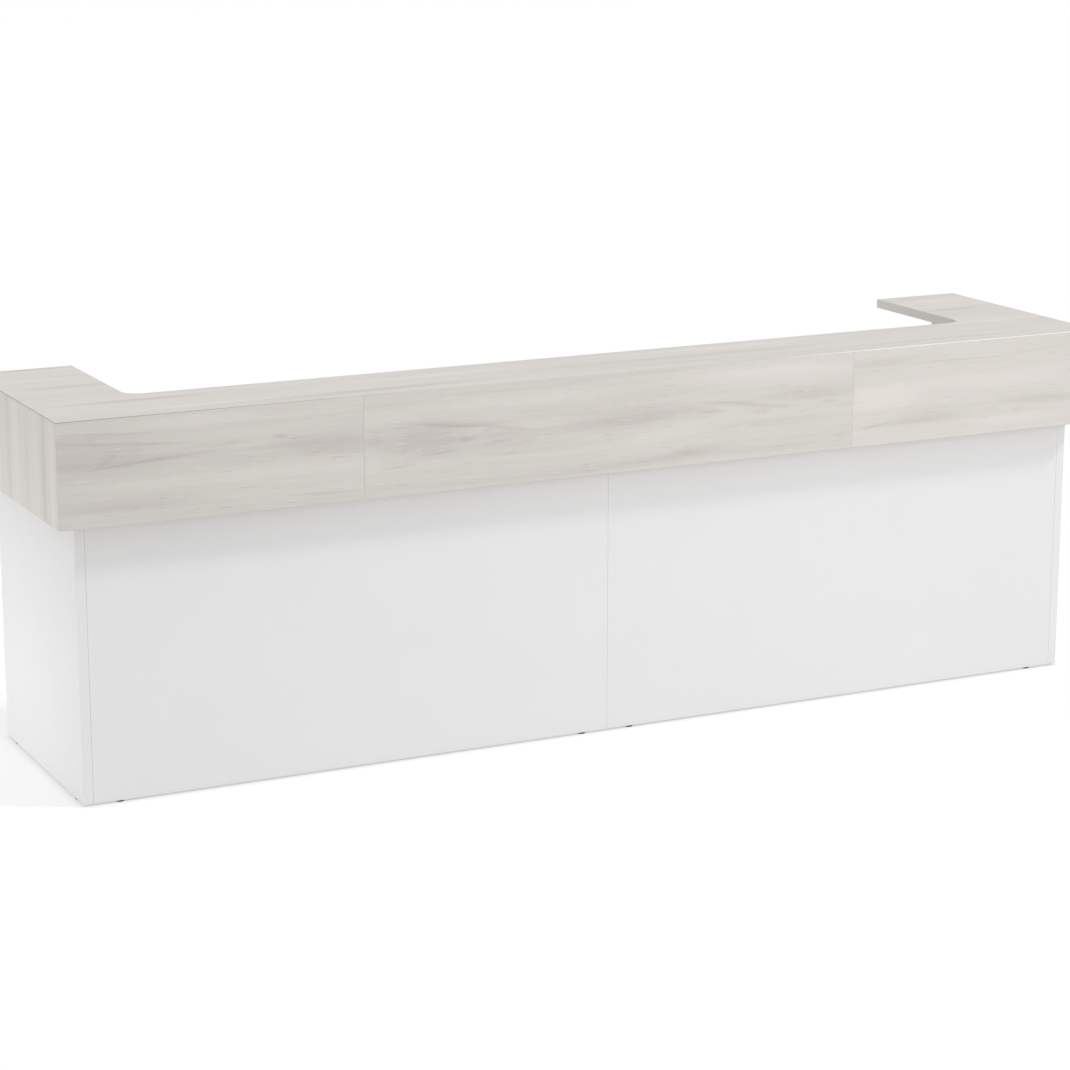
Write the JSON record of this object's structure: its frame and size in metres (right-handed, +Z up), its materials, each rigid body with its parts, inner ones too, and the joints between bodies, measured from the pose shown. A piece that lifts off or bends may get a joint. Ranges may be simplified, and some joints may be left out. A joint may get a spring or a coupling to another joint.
{
  "type": "service counter",
  "caption": "U-shaped service counter: white base, overhanging wood-effect fascia band, transaction top with rounded inner corners, lower worktops behind and levelling glides.",
  "frame": {"origin": "on the floor, in the middle of the counter's length and depth", "axes": "+X along the counter to the customers' right, +Y from the customers' side to the staff side, +Z up"},
  "size_m": [3.376, 0.802, 1.1],
  "materials": {
    "wood_effect_laminate": "pale greige ash-effect laminate on 28 mm chipboard, fine matt pore, matching edge banding",
    "white_melamine": "plain white melamine-faced 28 mm chipboard, satin, white edge banding",
    "sawn_timber": "planed softwood battens, uncoated",
    "zinc_steel": "bright zinc plate",
    "black_plastic": "moulded black plastic foot on a steel stud"
  },
  "bodies": {
    "counter": {"top_slab": "wood_effect_laminate", "front_fascia_left": "wood_effect_laminate", "front_fascia_centre": "wood_effect_laminate", "front_fascia_right": "wood_effect_laminate", "side_fascia_left": "wood_effect_laminate", "side_fascia_right": "wood_effect_laminate", "closing_strip_left": "wood_effect_laminate", "closing_strip_right": "wood_effect_laminate", "worktop_left": "wood_effect_laminate", "worktop_right": "wood_effect_laminate", "front_panel_left": "white_melamine", "front_panel_right": "white_melamine", "end_panel_left": "white_melamine", "end_panel_right": "white_melamine", "lower_partition": "white_melamine", "upper_partition": "white_melamine", "front_rail_left": "white_melamine", "front_rail_right": "white_melamine", "end_rail_left": "white_melamine", "end_rail_right": "white_melamine", "front_upper_batten_left": "sawn_timber", "front_upper_batten_right": "sawn_timber", "front_lower_batten_left": "sawn_timber", "front_lower_batten_right": "sawn_timber", "side_upper_batten_left": "sawn_timber", "side_upper_batten_right": "sawn_timber", "side_lower_batten_left": "sawn_timber", "side_lower_batten_right": "sawn_timber", "seam_block_left": "sawn_timber", "seam_block_right": "sawn_timber", "top_front_bracket_left": "zinc_steel", "top_front_bracket_right": "zinc_steel", "top_end_bracket_left": "zinc_steel", "top_end_bracket_right": "zinc_steel", "corner_bracket_left": "zinc_steel", "corner_bracket_right": "zinc_steel", "lower_partition_bracket_left": "zinc_steel", "lower_partition_bracket_right": "zinc_steel", "upper_partition_bracket_left": "zinc_steel", "upper_partition_bracket_right": "zinc_steel", "sleeve_left_outer": "zinc_steel", "sleeve_left_inner": "zinc_steel", "sleeve_right_inner": "zinc_steel", "sleeve_right_outer": "zinc_steel", "sleeve_left_end_front": "zinc_steel", "sleeve_left_end_rear": "zinc_steel", "sleeve_right_end_front": "zinc_steel", "sleeve_right_end_rear": "zinc_steel", "sleeve_partition_front": "zinc_steel", "sleeve_partition_rear": "zinc_steel"},
    "glide_left_outer": {"glide_left_outer": "black_plastic"},
    "glide_left_inner": {"glide_left_inner": "black_plastic"},
    "glide_right_inner": {"glide_right_inner": "black_plastic"},
    "glide_right_outer": {"glide_right_outer": "black_plastic"},
    "glide_left_end_front": {"glide_left_end_front": "black_plastic"},
    "glide_left_end_rear": {"glide_left_end_rear": "black_plastic"},
    "glide_right_end_front": {"glide_right_end_front": "black_plastic"},
    "glide_right_end_rear": {"glide_right_end_rear": "black_plastic"},
    "glide_partition_front": {"glide_partition_front": "black_plastic"},
    "glide_partition_rear": {"glide_partition_rear": "black_plastic"}
  },
  "joints": [
    {"name": "left_outer_travel", "type": "slide", "parent": "counter", "child": "glide_left_outer", "axis": [0, 0, -1], "range_m": [0, 0.015]},
    {"name": "left_inner_travel", "type": "slide", "parent": "counter", "child": "glide_left_inner", "axis": [0, 0, -1], "range_m": [0, 0.015]},
    {"name": "right_inner_travel", "type": "slide", "parent": "counter", "child": "glide_right_inner", "axis": [0, 0, -1], "range_m": [0, 0.015]},
    {"name": "right_outer_travel", "type": "slide", "parent": "counter", "child": "glide_right_outer", "axis": [0, 0, -1], "range_m": [0, 0.015]},
    {"name": "left_end_front_travel", "type": "slide", "parent": "counter", "child": "glide_left_end_front", "axis": [0, 0, -1], "range_m": [0, 0.015]},
    {"name": "left_end_rear_travel", "type": "slide", "parent": "counter", "child": "glide_left_end_rear", "axis": [0, 0, -1], "range_m": [0, 0.015]},
    {"name": "right_end_front_travel", "type": "slide", "parent": "counter", "child": "glide_right_end_front", "axis": [0, 0, -1], "range_m": [0, 0.015]},
    {"name": "right_end_rear_travel", "type": "slide", "parent": "counter", "child": "glide_right_end_rear", "axis": [0, 0, -1], "range_m": [0, 0.015]},
    {"name": "partition_front_travel", "type": "slide", "parent": "counter", "child": "glide_partition_front", "axis": [0, 0, -1], "range_m": [0, 0.015]},
    {"name": "partition_rear_travel", "type": "slide", "parent": "counter", "child": "glide_partition_rear", "axis": [0, 0, -1], "range_m": [0, 0.015]}
  ]
}
